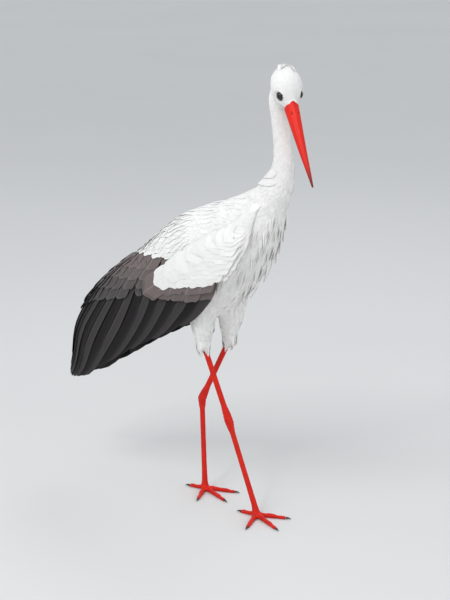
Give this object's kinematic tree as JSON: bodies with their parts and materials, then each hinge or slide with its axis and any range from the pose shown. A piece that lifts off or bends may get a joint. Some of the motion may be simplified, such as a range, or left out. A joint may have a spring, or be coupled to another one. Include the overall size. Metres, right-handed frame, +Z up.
{
  "type": "white stork",
  "caption": "Still, life-size white stork in mid-stride, neck raised, head turned and long red bill pointing down, wings folded; stands on both feet.",
  "frame": {"origin": "middle of the bird's outline in plan, on the floor under its soles", "axes": "+X the way the body heads, +Y to the bird's left, +Z up"},
  "size_m": [0.7386, 0.2262, 1.0185],
  "materials": {
    "white_plumage": "soft matte overlapping feathers",
    "grey_coverts": "matte grey-brown feathers with paler edges",
    "black_flight_feathers": "black feathers with a slight sheen",
    "red_bill": "smooth satin horn, duskier at the tip",
    "red_leg_skin": "small scales, satin",
    "dark_claw": "dark horn, satin",
    "dark_eye": "wet and glossy"
  },
  "bodies": {
    "root": {"head": "white_plumage", "neck": "white_plumage", "trunk": "white_plumage", "tail": "white_plumage", "bill_upper": "red_bill", "bill_lower": "red_bill", "eye_left": "dark_eye", "wing_left_coverts": "white_plumage", "wing_left_scapulars": "grey_coverts", "wing_left_flight_feathers": "black_flight_feathers", "thigh_left": "white_plumage", "shank_left": "red_leg_skin", "tarsus_left": "red_leg_skin", "foot_left": "red_leg_skin", "claw_left_outer": "dark_claw", "claw_left_middle": "dark_claw", "claw_left_inner": "dark_claw", "claw_left_hallux": "dark_claw", "eye_right": "dark_eye", "wing_right_coverts": "white_plumage", "wing_right_scapulars": "grey_coverts", "wing_right_flight_feathers": "black_flight_feathers", "thigh_right": "white_plumage", "shank_right": "red_leg_skin", "tarsus_right": "red_leg_skin", "foot_right": "red_leg_skin", "claw_right_outer": "dark_claw", "claw_right_middle": "dark_claw", "claw_right_inner": "dark_claw", "claw_right_hallux": "dark_claw"}
  },
  "joints": []
}
